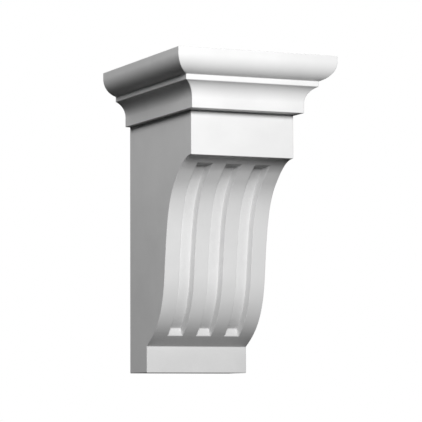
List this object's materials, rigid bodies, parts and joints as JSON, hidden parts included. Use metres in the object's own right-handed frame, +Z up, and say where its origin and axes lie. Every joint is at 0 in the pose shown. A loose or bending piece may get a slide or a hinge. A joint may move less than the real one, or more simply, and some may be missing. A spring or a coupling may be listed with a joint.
{
  "type": "polyurethane corbel",
  "caption": "White moulded wall corbel with a mitred crown, a plain block and a fluted face that curves back in an S to a low plinth.",
  "frame": {"origin": "middle of the flat back that goes against the wall", "axes": "+Y into the wall, so the fluted front faces -Y; +Z up; X across the width, with the same shape on both sides"},
  "size_m": [0.165, 0.193, 0.3],
  "materials": {
    "primed_white": "smooth satin white primer on moulded polyurethane"
  },
  "bodies": {
    "root": {"corbel": "primed_white"}
  },
  "joints": []
}
